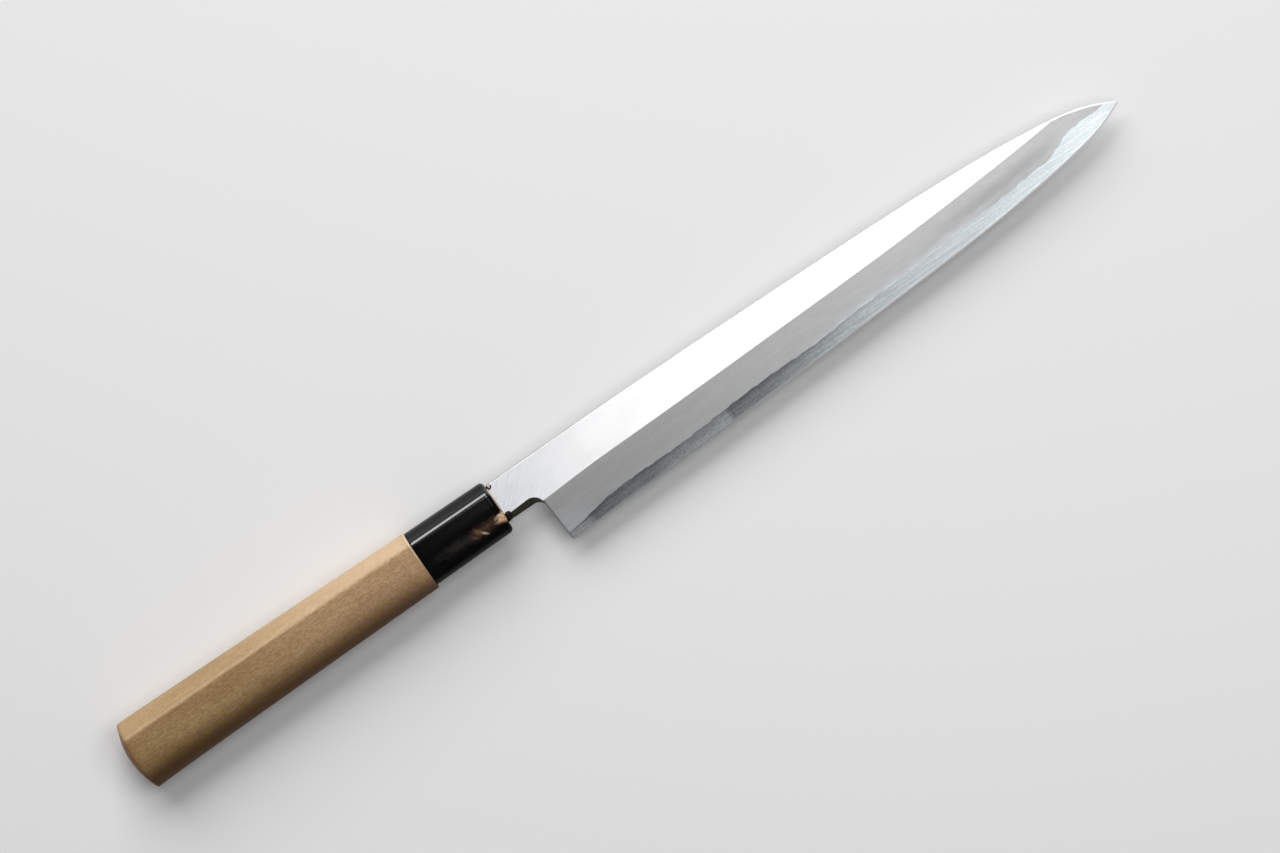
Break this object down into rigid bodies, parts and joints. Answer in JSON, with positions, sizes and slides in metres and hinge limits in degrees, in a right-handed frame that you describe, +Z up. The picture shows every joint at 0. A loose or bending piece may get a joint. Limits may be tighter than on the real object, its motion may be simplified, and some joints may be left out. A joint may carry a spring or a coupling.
{
  "type": "yanagiba knife",
  "caption": "Long single-bevel kitchen knife for slicing raw fish, with laminated blade, hollow back, black horn collar and pale wooden chestnut-section handle.",
  "frame": {"origin": "centre of the knife's footprint, at the level of the surface that it lies on, hollow back down", "axes": "+X along the knife to the tip, +Y across the blade to the spine, +Z up, out of the bevelled face"},
  "size_m": [0.3847, 0.0336, 0.0197],
  "materials": {
    "soft_iron": "satin, fine polishing lines across the bevel",
    "hard_steel": "hazy blue-grey polish with a fine bright edge",
    "magnolia_wood": "smooth unvarnished wood with fine lengthwise grain",
    "black_horn": "polished black horn with faint brown streaks",
    "black_resin": "glossy black resin beads"
  },
  "bodies": {
    "root": {"blade_iron": "soft_iron", "blade_steel": "hard_steel", "handle_wood": "magnolia_wood", "ferrule_horn": "black_horn", "tang_seal": "black_resin"}
  },
  "joints": []
}
